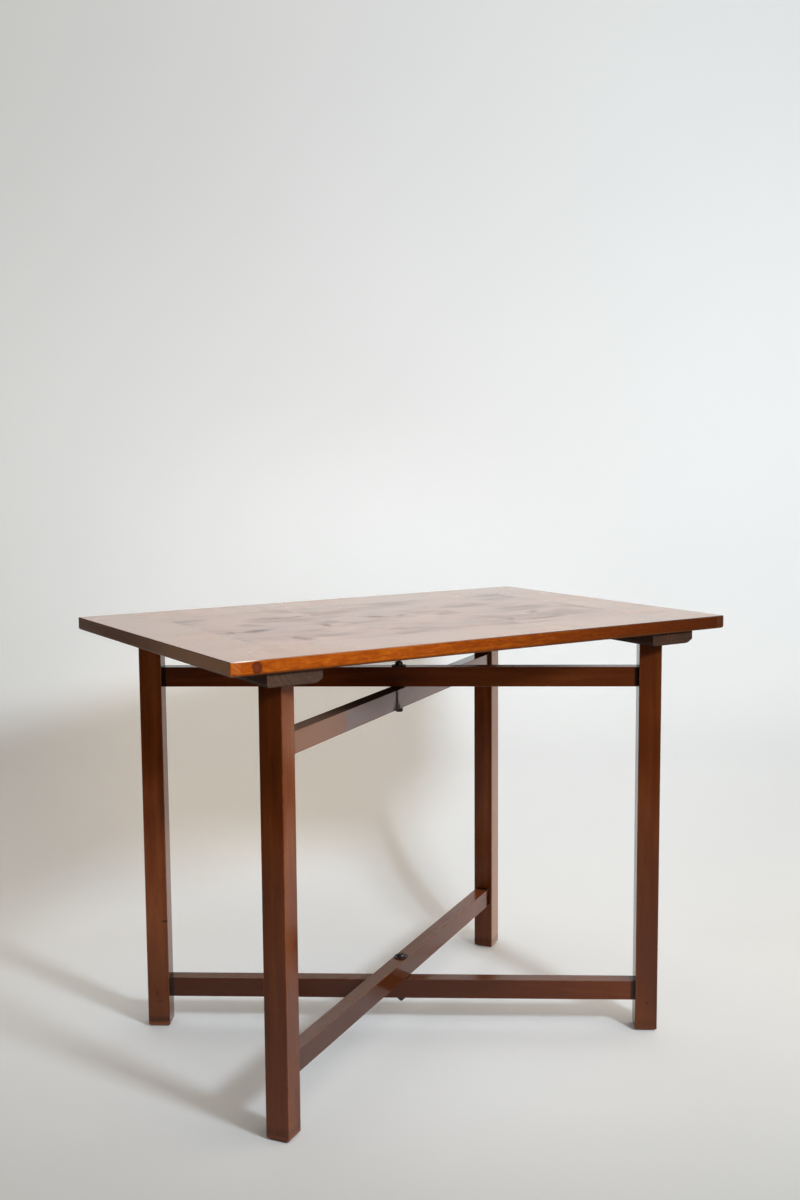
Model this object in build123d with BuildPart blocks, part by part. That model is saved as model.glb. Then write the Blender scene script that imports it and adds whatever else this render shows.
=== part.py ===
from build123d import *
from math import cos, radians, sin
import os

# A folding card table: a veneered top that lifts off two leg frames crossed in an X.
# Origin: centre of the footprint on the floor. +X runs along the long side, +Y to the back.

# Driving dimensions, in millimetres
TABLE_HEIGHT = 712.2
TOP_LENGTH = 900.0
TOP_WIDTH = 604.0
TOP_THICKNESS = 21.4
VENEER = 1.0
LIPPING_WIDTH = 16.0
BORDER_WIDTH = 104.0
FIELD_LEAVES = ("left", "middle", "right")

BATTEN_WIDTH = 86.0
BATTEN_THICKNESS = 20.8
BATTEN_LENGTH = 580.0
BATTEN_CENTRE = 347.0

LEG = 37.0
OUTER_HALF_LENGTH = 437.0
INNER_HALF_LENGTH = 441.0
FRAME_ANGLE = 34.1
RAIL_THICKNESS = 25.0
RAIL_HEIGHT = 33.2
LOWER_CROSSING = 85.5
UPPER_CROSSING = 594.8
PIVOT_DIAMETER = 8.0

# Edges
TOP_EDGE_ROUND = 1.4
TOP_UNDER_ROUND = 5.5
TOP_CORNER_ROUND = 2.5
LEG_EDGE_ROUND = 1.0
FOOT_CHAMFER = 3.5
RAIL_EDGE_ROUND = 0.6

# Fits
REST_GAP = 0.3
RUNNING_CLEARANCE = 0.08
JOINT_CLEARANCE = 0.1

# Tenons and dowels
TENON_THICKNESS = 10.0
TENON_LENGTH = 24.0
TENON_SHOULDER = 4.0
DOWEL_DIAMETER = 10.0
DOWEL_IN_LEG = 22.0
DOWEL_IN_BATTEN = 9.0

# Pivot hardware; each bolt head has a diameter, a height and the round of its outer edge
SPACER_DIAMETER = 24.0
SPACER_THICKNESS = 1.5
WASHER_DIAMETER = 24.0
WASHER_THICKNESS = 1.6
UPPER_HEAD = (12.5, 9.3, 1.5)
LOWER_HEAD = (14.0, 4.2, 3.0)
NUT_ACROSS_FLATS = 13.0
NUT_HEIGHT = 5.5
BOLT_END = 3.8

# Batten screws
SCREW_DIAMETER = 4.5
SCREW_HEAD_DIAMETER = 9.0
SCREW_LENGTH = 32.0
SCREW_SPACING = 170.0
SCREW_ROWS = 4
SLOT_WIDTH = 1.3
SLOT_DEPTH = 1.2

# Heights worked out from the driving dimensions
TOP_UNDERSIDE = TABLE_HEIGHT - TOP_THICKNESS
VENEER_BASE = TABLE_HEIGHT - VENEER
BATTEN_UNDERSIDE = TOP_UNDERSIDE - BATTEN_THICKNESS
LEG_HEIGHT = BATTEN_UNDERSIDE - REST_GAP
RAIL_STEP = SPACER_THICKNESS + REST_GAP
OUTER_LOWER_RAIL = LOWER_CROSSING - RAIL_HEIGHT
INNER_LOWER_RAIL = LOWER_CROSSING + RAIL_STEP
INNER_UPPER_RAIL = UPPER_CROSSING - RAIL_STEP - RAIL_HEIGHT
OUTER_UPPER_RAIL = UPPER_CROSSING

os.makedirs("parts", exist_ok=True)


def save(piece, name):
    """Label a finished piece and write it to its own file."""
    piece.part.label = name
    export_step(piece.part, f"parts/{name}.step")


def frame_plane(angle, reach=0.0, height=0.0):
    """Plane whose X axis runs along a leg frame, reach millimetres from the pivot axis."""
    along = Vector(cos(radians(angle)), sin(radians(angle)), 0)
    origin = along * reach + Vector(0, 0, height)
    return Plane(origin=origin, x_dir=along, z_dir=(0, 0, 1))


# The top's blank: rounded edges all round, from which core, lippings and veneers are cut
def edge_profile(length):
    """Section through the top: small round above, larger round below."""
    Rectangle(length, TOP_THICKNESS)
    fillet(vertices().group_by(Axis.Y)[-1], radius=TOP_EDGE_ROUND)
    fillet(vertices().group_by(Axis.Y)[0], radius=TOP_UNDER_ROUND)


MIDDLE_OF_TOP = (0, 0, TABLE_HEIGHT - TOP_THICKNESS / 2)

with BuildPart() as blank:
    with BuildSketch(Plane(origin=MIDDLE_OF_TOP, x_dir=(1, 0, 0), z_dir=(0, -1, 0))):
        edge_profile(TOP_LENGTH)
    extrude(amount=TOP_WIDTH / 2, both=True)
    with BuildSketch(Plane(origin=MIDDLE_OF_TOP, x_dir=(0, 1, 0), z_dir=(1, 0, 0))):
        edge_profile(TOP_WIDTH)
    extrude(amount=TOP_LENGTH / 2, both=True, mode=Mode.INTERSECT)
    with BuildSketch(Plane.XY.offset(TOP_UNDERSIDE)):
        RectangleRounded(TOP_LENGTH, TOP_WIDTH, TOP_CORNER_ROUND)
    extrude(amount=TOP_THICKNESS, mode=Mode.INTERSECT)

CORE_LENGTH = TOP_LENGTH - 2 * LIPPING_WIDTH
CORE_WIDTH = TOP_WIDTH - 2 * LIPPING_WIDTH
CORE_THICKNESS = TOP_THICKNESS - VENEER
SCREW_YS = [SCREW_SPACING * (row - (SCREW_ROWS - 1) / 2) for row in range(SCREW_ROWS)]
SCREW_PLACES = [(side * BATTEN_CENTRE, y) for side in (-1, 1) for y in SCREW_YS]
SCREW_TIP = BATTEN_UNDERSIDE + SCREW_LENGTH

with BuildPart() as top_core:
    with BuildSketch(Plane.XY.offset(TOP_UNDERSIDE)):
        Rectangle(CORE_LENGTH, CORE_WIDTH)
    extrude(amount=CORE_THICKNESS)
    with BuildSketch(Plane.XY.offset(TOP_UNDERSIDE)):
        with Locations(*SCREW_PLACES):
            Circle(SCREW_DIAMETER / 2)
    extrude(amount=SCREW_TIP - TOP_UNDERSIDE, mode=Mode.SUBTRACT)
save(top_core, "top_core")


def lipping(name, centre, size):
    """One edge lipping, cut from the blank below the veneer."""
    with BuildPart() as piece:
        add(blank.part)
        with BuildSketch(Plane.XY.offset(TOP_UNDERSIDE)):
            with Locations(centre):
                Rectangle(*size)
        extrude(amount=CORE_THICKNESS, mode=Mode.INTERSECT)
    save(piece, name)


LIPPING_X = (TOP_LENGTH - LIPPING_WIDTH) / 2
LIPPING_Y = (TOP_WIDTH - LIPPING_WIDTH) / 2
lipping("lipping_left", (-LIPPING_X, 0), (LIPPING_WIDTH, TOP_WIDTH))
lipping("lipping_right", (LIPPING_X, 0), (LIPPING_WIDTH, TOP_WIDTH))
lipping("lipping_front", (0, -LIPPING_Y), (CORE_LENGTH, LIPPING_WIDTH))
lipping("lipping_back", (0, LIPPING_Y), (CORE_LENGTH, LIPPING_WIDTH))

FIELD_LENGTH = TOP_LENGTH - 2 * BORDER_WIDTH
FIELD_WIDTH = TOP_WIDTH - 2 * BORDER_WIDTH


def border(name, outline):
    """One crossbanding strip of the border, mitred at both ends."""
    with BuildPart() as piece:
        add(blank.part)
        with BuildSketch(Plane.XY.offset(VENEER_BASE)):
            with BuildLine():
                Polyline(*outline, close=True)
            make_face()
        extrude(amount=VENEER, mode=Mode.INTERSECT)
    save(piece, name)


for name, side in (("border_front", -1), ("border_back", 1)):
    border(name, [
        (-TOP_LENGTH / 2, side * TOP_WIDTH / 2),
        (TOP_LENGTH / 2, side * TOP_WIDTH / 2),
        (FIELD_LENGTH / 2, side * FIELD_WIDTH / 2),
        (-FIELD_LENGTH / 2, side * FIELD_WIDTH / 2),
    ])
for name, side in (("border_left", -1), ("border_right", 1)):
    border(name, [
        (side * TOP_LENGTH / 2, -TOP_WIDTH / 2),
        (side * TOP_LENGTH / 2, TOP_WIDTH / 2),
        (side * FIELD_LENGTH / 2, FIELD_WIDTH / 2),
        (side * FIELD_LENGTH / 2, -FIELD_WIDTH / 2),
    ])

LEAF_LENGTH = FIELD_LENGTH / len(FIELD_LEAVES)
for index, side in enumerate(FIELD_LEAVES):
    leaf_x = (index - (len(FIELD_LEAVES) - 1) / 2) * LEAF_LENGTH
    with BuildPart() as leaf:
        with BuildSketch(Plane.XY.offset(VENEER_BASE)):
            with Locations((leaf_x, 0)):
                Rectangle(LEAF_LENGTH, FIELD_WIDTH)
        extrude(amount=VENEER)
    save(leaf, f"field_leaf_{side}")

# Battens: a wide bevel on the right lower edge, a narrow steep one on the left lower edge
WIDE_BEVEL = (11.0, 6.5)
STEEP_BEVEL = (2.0, 5.0)
SOCKET_DEPTH = DOWEL_IN_BATTEN + 1.0
DOWEL_REACH = OUTER_HALF_LENGTH - LEG / 2
DOWEL_X = DOWEL_REACH * cos(radians(FRAME_ANGLE))
DOWEL_Y = DOWEL_REACH * sin(radians(FRAME_ANGLE))


def batten(name, side):
    """A batten under the top, with a dowel socket over the outer frame's leg on its side."""
    left = side * BATTEN_CENTRE - BATTEN_WIDTH / 2
    right = left + BATTEN_WIDTH
    with BuildPart() as piece:
        with BuildSketch(Plane.XZ):
            with BuildLine():
                Polyline(
                    (left, TOP_UNDERSIDE),
                    (left, BATTEN_UNDERSIDE + STEEP_BEVEL[1]),
                    (left + STEEP_BEVEL[0], BATTEN_UNDERSIDE),
                    (right - WIDE_BEVEL[0], BATTEN_UNDERSIDE),
                    (right, BATTEN_UNDERSIDE + WIDE_BEVEL[1]),
                    (right, TOP_UNDERSIDE),
                    close=True,
                )
            make_face()
        extrude(amount=BATTEN_LENGTH / 2, both=True)
        ends = piece.edges().filter_by(Axis.X).group_by(Axis.Z)[0]
        chamfer(ends, length=1.5)
        with BuildSketch(Plane.XY.offset(BATTEN_UNDERSIDE)):
            with Locations((side * DOWEL_X, -side * DOWEL_Y)):
                Circle(DOWEL_DIAMETER / 2 + REST_GAP)
        extrude(amount=SOCKET_DEPTH, mode=Mode.SUBTRACT)
        with Locations(Plane.XY.offset(BATTEN_UNDERSIDE) * Rotation(180, 0, 0)):
            with Locations(*[(x, -y) for x, y in SCREW_PLACES if x * side > 0]):
                CounterSinkHole(SCREW_DIAMETER / 2, SCREW_HEAD_DIAMETER / 2)
    save(piece, name)


batten("batten_left", -1)
batten("batten_right", 1)

# Countersunk slotted screws, seen from below
with BuildPart() as batten_screws:
    with BuildSketch(Plane.XY.offset(BATTEN_UNDERSIDE)):
        with Locations(*SCREW_PLACES):
            Circle(SCREW_DIAMETER / 2)
    extrude(amount=SCREW_LENGTH)
    with Locations(*[(x, y, BATTEN_UNDERSIDE) for x, y in SCREW_PLACES]):
        Cone(
            SCREW_HEAD_DIAMETER / 2,
            SCREW_DIAMETER / 2,
            (SCREW_HEAD_DIAMETER - SCREW_DIAMETER) / 2,
            align=(Align.CENTER, Align.CENTER, Align.MIN),
        )
    with BuildSketch(Plane.XY.offset(BATTEN_UNDERSIDE)):
        for turn, place in enumerate(SCREW_PLACES):
            with Locations(Location(place, 37 * turn)):
                Rectangle(SCREW_HEAD_DIAMETER + 1, SLOT_WIDTH)
    extrude(amount=SLOT_DEPTH, mode=Mode.SUBTRACT)
save(batten_screws, "batten_screws")


# Leg frames: the outer one holds the dowels, the inner one nests between the outer one's rails
OUTER = (-FRAME_ANGLE, OUTER_HALF_LENGTH, (OUTER_LOWER_RAIL, OUTER_UPPER_RAIL))
INNER = (FRAME_ANGLE, INNER_HALF_LENGTH, (INNER_LOWER_RAIL, INNER_UPPER_RAIL))


def leg(name, frame, side, has_dowel):
    """A square leg with eased edges, a chamfered foot and a mortise for each rail.

    side is +1 or -1 along the frame; the leg's inner face looks at the pivot axis.
    """
    angle, half_length, rail_heights = frame
    centre = side * (half_length - LEG / 2)
    inner_face = side * (half_length - LEG)
    mortise_depth = TENON_LENGTH + 1
    with BuildPart() as piece:
        with BuildSketch(frame_plane(angle, centre)):
            Rectangle(LEG, LEG)
        extrude(amount=LEG_HEIGHT)
        chamfer(piece.faces().sort_by(Axis.Z)[0].edges(), length=FOOT_CHAMFER)
        level = piece.edges().filter_by(Plane.XY)
        fillet([edge for edge in piece.edges() if edge not in level], radius=LEG_EDGE_ROUND)
        for height in rail_heights:
            with BuildSketch(frame_plane(angle, inner_face, height + TENON_SHOULDER)):
                with Locations((side * mortise_depth / 2, 0)):
                    Rectangle(mortise_depth, TENON_THICKNESS + 2 * JOINT_CLEARANCE)
            extrude(amount=RAIL_HEIGHT - 2 * TENON_SHOULDER, mode=Mode.SUBTRACT)
        if has_dowel:
            with Locations(frame_plane(angle, centre, LEG_HEIGHT)):
                Hole(DOWEL_DIAMETER / 2, depth=DOWEL_IN_LEG)
    save(piece, name)


leg("leg_left_back", OUTER, -1, True)
leg("leg_right_front", OUTER, 1, True)
leg("leg_left_front", INNER, -1, False)
leg("leg_right_back", INNER, 1, False)

with BuildPart() as locating_dowels:
    for side in (-1, 1):
        with BuildSketch(frame_plane(-FRAME_ANGLE, side * DOWEL_REACH, LEG_HEIGHT - DOWEL_IN_LEG)):
            Circle(DOWEL_DIAMETER / 2)
        extrude(amount=DOWEL_IN_LEG + REST_GAP + DOWEL_IN_BATTEN)
    chamfer(locating_dowels.faces().filter_by(Axis.Z).group_by(Axis.Z)[-1].edges(), length=1.5)
save(locating_dowels, "locating_dowels")


def rail(name, frame, level, bore):
    """A rail of a leg frame, tenoned at both ends and bored at the middle for the pivot bolt.

    level is 0 for the frame's lower rail and 1 for its upper one.
    """
    angle, half_length, rail_heights = frame
    height = rail_heights[level]
    shoulder = half_length - LEG
    with BuildPart() as piece:
        with BuildSketch(frame_plane(angle, 0, height)):
            Rectangle(2 * shoulder, RAIL_THICKNESS)
        extrude(amount=RAIL_HEIGHT)
        long_edges = piece.edges().filter_by(lambda edge: edge.length > shoulder)
        fillet(long_edges, radius=RAIL_EDGE_ROUND)
        with BuildSketch(frame_plane(angle, 0, height + TENON_SHOULDER)):
            Rectangle(2 * (shoulder + TENON_LENGTH), TENON_THICKNESS)
        extrude(amount=RAIL_HEIGHT - 2 * TENON_SHOULDER)
        with Locations(frame_plane(angle, 0, height + RAIL_HEIGHT)):
            Hole(bore / 2, depth=RAIL_HEIGHT)
    save(piece, name)


LOOSE_BORE = PIVOT_DIAMETER + 2 * RUNNING_CLEARANCE
rail("outer_lower_rail", OUTER, 0, PIVOT_DIAMETER)
rail("outer_upper_rail", OUTER, 1, PIVOT_DIAMETER)
rail("inner_lower_rail", INNER, 0, LOOSE_BORE)
rail("inner_upper_rail", INNER, 1, LOOSE_BORE)


# Pivot hardware
def washer(name, base, diameter, thickness):
    """A flat ring on the pivot axis with eased rims."""
    with BuildPart() as piece:
        with BuildSketch(Plane.XY.offset(base)):
            Circle(diameter / 2)
            Circle(PIVOT_DIAMETER / 2, mode=Mode.SUBTRACT)
        extrude(amount=thickness)
        rims = piece.edges().filter_by(GeomType.CIRCLE).filter_by(lambda edge: edge.radius > diameter / 3)
        fillet(rims, radius=thickness / 4)
    save(piece, name)


# The upper bolt points up and the lower one down, each with its nut against the outer frame
UPPER_SEAT = INNER_UPPER_RAIL - REST_GAP
UPPER_WASHER = OUTER_UPPER_RAIL + RAIL_HEIGHT
UPPER_NUT = UPPER_WASHER + WASHER_THICKNESS
LOWER_WASHER = INNER_LOWER_RAIL + RAIL_HEIGHT + REST_GAP
LOWER_SEAT = LOWER_WASHER + WASHER_THICKNESS
LOWER_NUT = OUTER_LOWER_RAIL

washer("upper_washer", UPPER_WASHER, WASHER_DIAMETER, WASHER_THICKNESS)
washer("lower_washer", LOWER_WASHER, WASHER_DIAMETER, WASHER_THICKNESS)
washer("upper_spacer", UPPER_CROSSING - SPACER_THICKNESS, SPACER_DIAMETER, SPACER_THICKNESS)
washer("lower_spacer", LOWER_CROSSING, SPACER_DIAMETER, SPACER_THICKNESS)


def pivot_bolt(name, head, seat, towards, nut_base):
    """A slotted bolt seated at height seat, pointing up (towards is 1) or down (towards is -1).

    head is its diameter, height and edge round. The shank ends BOLT_END past the nut.
    """
    diameter, height, edge_round = head
    seat_plane = Plane(origin=(0, 0, seat), x_dir=(1, 0, 0), z_dir=(0, 0, towards))
    crown = 0 if towards > 0 else -1
    shank_length = abs(nut_base - seat) + NUT_HEIGHT + BOLT_END
    with BuildPart() as piece:
        with BuildSketch(seat_plane.offset(-height)):
            Circle(diameter / 2)
        extrude(amount=height)
        fillet(piece.edges().sort_by(Axis.Z)[crown], radius=edge_round)
        with BuildSketch(seat_plane):
            Circle(PIVOT_DIAMETER / 2)
        extrude(amount=shank_length)
        chamfer(piece.edges().sort_by(Axis.Z)[-1 - crown], length=1.5)
        with BuildSketch(seat_plane.offset(-height)):
            Rectangle(diameter, SLOT_WIDTH)
        extrude(amount=SLOT_DEPTH, mode=Mode.SUBTRACT)
    save(piece, name)


NUT_RADIUS = NUT_ACROSS_FLATS / 2 / cos(radians(30))
NUT_CORNER = 1.7


def nut(name, base, towards):
    """A hexagon nut standing on height base, upwards or downwards, with its outer corners turned off."""
    shoulder = base + towards * (NUT_HEIGHT - 1)
    rim = base + towards * NUT_HEIGHT
    with BuildPart() as piece:
        with BuildSketch(Plane(origin=(0, 0, base), x_dir=(1, 0, 0), z_dir=(0, 0, towards))):
            RegularPolygon(NUT_RADIUS, 6)
            Circle(PIVOT_DIAMETER / 2, mode=Mode.SUBTRACT)
        extrude(amount=NUT_HEIGHT)
        with BuildSketch(Plane.XZ):
            with BuildLine():
                Polyline(
                    (0, base),
                    (NUT_RADIUS, base),
                    (NUT_RADIUS, shoulder),
                    (NUT_RADIUS - NUT_CORNER, rim),
                    (0, rim),
                    close=True,
                )
            make_face()
        revolve(axis=Axis.Z, mode=Mode.INTERSECT)
    save(piece, name)


pivot_bolt("upper_pivot_bolt", UPPER_HEAD, UPPER_SEAT, 1, UPPER_NUT)
pivot_bolt("lower_pivot_bolt", LOWER_HEAD, LOWER_SEAT, -1, LOWER_NUT)
nut("upper_nut", UPPER_NUT, 1)
nut("lower_nut", LOWER_NUT, -1)
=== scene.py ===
import math

import bpy
from mathutils import Matrix, Vector


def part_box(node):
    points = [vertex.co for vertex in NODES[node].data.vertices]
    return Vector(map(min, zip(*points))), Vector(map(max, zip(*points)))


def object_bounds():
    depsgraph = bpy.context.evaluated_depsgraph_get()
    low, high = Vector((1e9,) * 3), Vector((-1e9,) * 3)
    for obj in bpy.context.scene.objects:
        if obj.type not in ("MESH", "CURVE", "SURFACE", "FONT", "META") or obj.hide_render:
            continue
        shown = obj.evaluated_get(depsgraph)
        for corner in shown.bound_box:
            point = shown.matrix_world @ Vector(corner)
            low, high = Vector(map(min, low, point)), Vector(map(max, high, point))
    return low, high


# A folding card table: an old polished top with a burr field, on two red-brown leg frames
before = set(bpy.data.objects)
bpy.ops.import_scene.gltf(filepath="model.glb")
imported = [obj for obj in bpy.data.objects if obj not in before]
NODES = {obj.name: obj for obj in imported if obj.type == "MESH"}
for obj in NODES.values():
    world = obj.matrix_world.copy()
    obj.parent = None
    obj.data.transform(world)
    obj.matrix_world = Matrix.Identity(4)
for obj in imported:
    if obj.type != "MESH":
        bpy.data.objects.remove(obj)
CAD_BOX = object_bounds()
HALF_LENGTH, HALF_WIDTH, TABLE_HEIGHT = CAD_BOX[1]

# Camera, from the photograph's vanishing points: metres, radians, and millimetres for the lens
CAMERA_PLACE = Vector((-1.1995, -1.9306, 0.9889))
CAMERA_YAW = math.radians(31.92)
CAMERA_PITCH = math.radians(6.26)
CAMERA_ROLL = math.radians(0.4)
CAMERA_LENS = 40.96
SENSOR_LONG_SIDE = 36.0
# The level directions away from the camera and to its right, in which the stage is measured
AWAY = Vector((math.sin(CAMERA_YAW), math.cos(CAMERA_YAW), 0))
SIDEWAYS = Vector((math.cos(CAMERA_YAW), -math.sin(CAMERA_YAW), 0))

# The floor, and the paper sweep behind the table, whose edges the polished rails mirror
FLOOR_SIZE = 14.0
SWEEP_DISTANCE = 0.76
SWEEP_RADIUS = 0.31
SWEEP_HEIGHT = 3.2
SWEEP_LEFT = -1.35
SWEEP_RIGHT = 1.11
SWEEP_FRONT = -1.6
SWEEP_STEPS = 48
SWEEP_LIFT = 0.0002
PAPER_EDGE = 0.01
# The paper's tone along each direction, painted shade where the lamps' light falls off: from, to, first
# tone, last tone
PAPER_FRONT_TO_BACK = (-1.5, 0.5, 0.27, 1.0)
PAPER_LOW_TO_HIGH = (0.85, 2.05, 1.0, 0.80)
PAPER_ON_FLOOR = (0.0, 0.5, 0.85, 1.0)
FLOOR_TO_LEFT = (-0.5, -1.0, 1.0, 0.9)
FLOOR_TO_RIGHT = (0.1, 0.9, 1.0, 0.84)
# What is added to that tone behind the photograph's camera, where only other views look
PAPER_PAST_FRONT = (-2.4, -3.8, 0.0, 0.6)
# The height at which the floor's painted shade at the left and right edges has gone
FLOOR_EDGES_END = 0.55
# How light the floor past the paper is, for all but the camera
ROOM_FLOOR_TONE = 0.1
PAPER_MOTTLE = 0.035
PAPER_MOTTLE_SCALE = (2.1, 2.1, 2.1)
PAINTED_LIGHT_CORE = 0.3
BLACK = (0.0, 0.0, 0.0, 1.0)
PAPER_WHITE = (1.0, 1.0, 0.99, 1.0)
# Painted light on the paper round the feet and behind the table, and painted warm light in the table's
# shadow there: centre, half size, gain
PAINTED_LIGHT_ON_PAPER = (
    ((-0.15, -0.05, 0.0), (0.75, 0.62, 0.45), (1.12, 1.13, 1.15, 1.0)),
    ((-0.18, 0.76, 0.55), (0.80, 0.50, 0.62), (1.09, 1.09, 1.09, 1.0)),
    ((-0.33, 0.76, 0.30), (0.60, 0.30, 0.40), (1.13, 1.09, 1.04, 1.0)),
)

# Each lamp: place, target, width in metres, power in watts, colour
LAMPS = {
    "key": ((0.355, -2.25, 1.735), (-0.5, 0.6, 1.0), 0.40, 44, (0.77, 0.893, 1.0)),
    "overhead": ((0.0, -0.3, 2.8), (0.0, 0.1, 0.0), 3.6, 18, (0.985, 0.957, 0.90)),
    "front": ((-0.3, -4.3, 2.6), (0.0, 0.0, 0.3), 4.6, 26, (0.993, 0.981, 0.942)),
    "sunlit_floor": ((2.55, 0.25, 0.01), (2.55, 0.25, 1.0), 1.1, 3.9, (1.0, 0.75, 0.58)),
}
# The room: its light side, how its strength goes from the dark side to the light one, its colour
ROOM_LIGHT_SIDE = (0.9, 0.0, 0.44)
ROOM_STRENGTH = (-0.35, 0.85, 0.13, 1.3)
ROOM_COLOUR = (0.98, 0.88, 0.77, 1.0)
# The room as the camera sees it past the paper
ROOM_STRENGTH_TO_CAMERA = 0.85


def srgb(red, green, blue):
    """A shader colour from one written in 8-bit sRGB."""
    def linear(level):
        share = level / 255
        return share / 12.92 if share <= 0.04045 else ((share + 0.055) / 1.055) ** 2.4
    return linear(red), linear(green), linear(blue), 1.0


def frame_line(leg):
    """The angle of a leg's frame, and how far along it the leg stands from the pivot axis."""
    low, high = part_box(leg)
    x, y, _ = (low + high) / 2
    return math.atan(y / x), math.copysign(math.hypot(x, y), x)


OUTER_ANGLE = frame_line("leg_right_front")[0]
INNER_ANGLE = frame_line("leg_right_back")[0]
# Half the legs' width, half the rails' thickness, and how far out the rails meet the legs
LEG_HALF = 0.0185
RAIL_HALF_THICKNESS = 0.0125
RAIL_SHOULDER = 0.4

# Patterns in solid timber: their repeats per metre along the grain, across it and up
DRIFT_SCALE = (1.6, 9, 9)
FIBRE_SCALE = (22, 700, 700)
PORE_SCALE = (90, 2200, 2200)
STAIN_SCALE = (3.6, 17, 17)
FLECK_SCALE = (62, 210, 210)
# How far apart in one large pattern the pieces are cut, and how the tree's middle moves between them
SEED_SPREAD = 1.37
PITH_MOVES = (0.004, -0.003)
# The rings wander less upwards than across
RISE_DRIFT = 0.6
# The tones at which a timber's three colours lie, and the noise over which pores and stains set in
TIMBER_TONES = (0.22, 0.50, 0.78)
PORE_LIMITS = (0.60, 0.72)
STAIN_LIMITS = (0.3, 0.7)
PORE_SHARE = 0.35
# How far fibres and rings stand up and pores go down, as shares of the timber's relief
FIBRE_RISES = 0.5
RING_RISES = 0.5
PORE_RISES = -0.8
# Woods. Three colours of the timber, one where it is worn, also used for painted light, and one for its
# pores and dirt, also used for painted shade. Rings per metre and how much they show, the tree's middle
# across and above the piece, and how far the rings wander. How much fibres, stains and flecks show.
# Roughness from glossy to dull places, the height of the grain in metres, and the specular level.
FRAME_WOOD = {
    "dark": srgb(67, 29, 9), "mid": srgb(108, 51, 20), "light": srgb(139, 75, 34),
    "worn_and_lit": srgb(132, 80, 52), "grime_and_shade": srgb(24, 11, 7),
    "rings": 110.0, "ring": 0.28, "pith": (0.11, -0.06), "wander": 0.08,
    "fibre": 0.09, "stain": 0.9, "fleck": 0.0,
    "roughness": (0.13, 0.17), "relief": 0.000015, "specular": 0.30,
}
# The inner lower rail keeps more of its polish, and the right-back leg less
LOW_RAIL_WOOD = {**FRAME_WOOD, "specular": 0.34}
MATT_LEG_WOOD = {**FRAME_WOOD, "specular": 0.22}
# The left-back leg is painted lighter, a lit copy of the frame wood
LIGHT_LEG_WOOD = {**FRAME_WOOD, "mid": srgb(120, 57, 21), "light": srgb(152, 82, 36)}
EDGE_WOOD = {
    "dark": srgb(98, 34, 2), "mid": srgb(160, 72, 6), "light": srgb(206, 112, 26),
    "worn_and_lit": srgb(190, 108, 46), "grime_and_shade": srgb(44, 20, 9),
    "rings": 260.0, "ring": 0.2, "pith": (0.05, -0.03), "wander": 0.032,
    "fibre": 0.2, "stain": 0.3, "fleck": 0.55,
    "roughness": (0.3, 0.42), "relief": 0.00005, "specular": 0.08,
}
# The short lippings are painted browner, standing in for the shade they lie in, and keep more of their
# polish
SHORT_EDGE_WOOD = {
    **EDGE_WOOD, "dark": srgb(84, 48, 28), "mid": srgb(118, 74, 46), "light": srgb(146, 98, 66),
    "fleck": 0.4, "roughness": (0.34, 0.46), "specular": 0.25,
}
BATTEN_WOOD = {
    "dark": srgb(38, 22, 14), "mid": srgb(62, 38, 25), "light": srgb(92, 60, 42),
    "worn_and_lit": srgb(128, 100, 82), "grime_and_shade": srgb(22, 14, 10),
    "rings": 220.0, "ring": 0.2, "pith": (0.08, -0.05), "wander": 0.032,
    "fibre": 0.3, "stain": 0.5, "fleck": 0.5,
    "roughness": (0.6, 0.8), "relief": 0.0001, "specular": 0.2,
}
# The left batten's copy is painted lighter and greyer, standing in for the sheen on its front end
LEFT_BATTEN_WOOD = {
    **BATTEN_WOOD, "dark": srgb(48, 32, 23), "mid": srgb(78, 54, 40), "light": srgb(106, 78, 60),
}
CORE_WOOD = {
    "dark": srgb(92, 66, 46), "mid": srgb(132, 100, 72), "light": srgb(158, 126, 94),
    "worn_and_lit": srgb(160, 130, 100), "grime_and_shade": srgb(60, 42, 30),
    "rings": 160.0, "ring": 1.0, "pith": (0.2, -0.12), "wander": 0.08,
    "fibre": 0.35, "stain": 0.5, "fleck": 0.3,
    "roughness": (0.6, 0.8), "relief": 0.00014, "specular": 0.3,
}
DOWEL_WOOD = {
    "dark": srgb(120, 84, 50), "mid": srgb(160, 120, 78), "light": srgb(188, 150, 104),
    "worn_and_lit": srgb(190, 150, 108), "grime_and_shade": srgb(70, 50, 34),
    "rings": 500.0, "ring": 1.0, "pith": (0.03, -0.02), "wander": 0.012,
    "fibre": 0.3, "stain": 0.3, "fleck": 0.0,
    "roughness": (0.5, 0.7), "relief": 0.0001, "specular": 0.3,
}
# The height from which the timbers in and under the top are measured
UNDER_TOP = 0.69

# Wear on the arrises: its repeats, the noise over which it grows, how far in it reaches, least and
# most, how much of the worn colour shows, and what it adds to the roughness
WEAR_SCALE = (14, 1, 1)
WEAR_LIMITS = (0.38, 0.68)
ARRIS_REACH = (0.0006, 0.0035)
WORN_SHARE = 0.22
WEAR_DULLS = 0.2
# Bands at a face or an end: how far from it each begins and where it is whole
FACE_BAND = (0.0006, 0.0002)
SIDE_LIGHT_BAND = (0.0014, 0.0004)
# Painted shade at a rail's ends, the shadow in the gap where it meets a leg
SHOULDER_SHADE = (0.009, 0.005)
SHOULDER_SHADE_SHARE = 0.93
UPPER_FACE_DULL = 0.3

# The inner upper rail's window side, in metres along it: where its end, painted as lit by the key, gives
# way to painted shade, and its middle painted pale with reflection
SIDE_SHADOW_EDGE = (-0.229, -0.227)
SIDE_REFLECTION_SPAN = (-0.14, 0.14)
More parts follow.
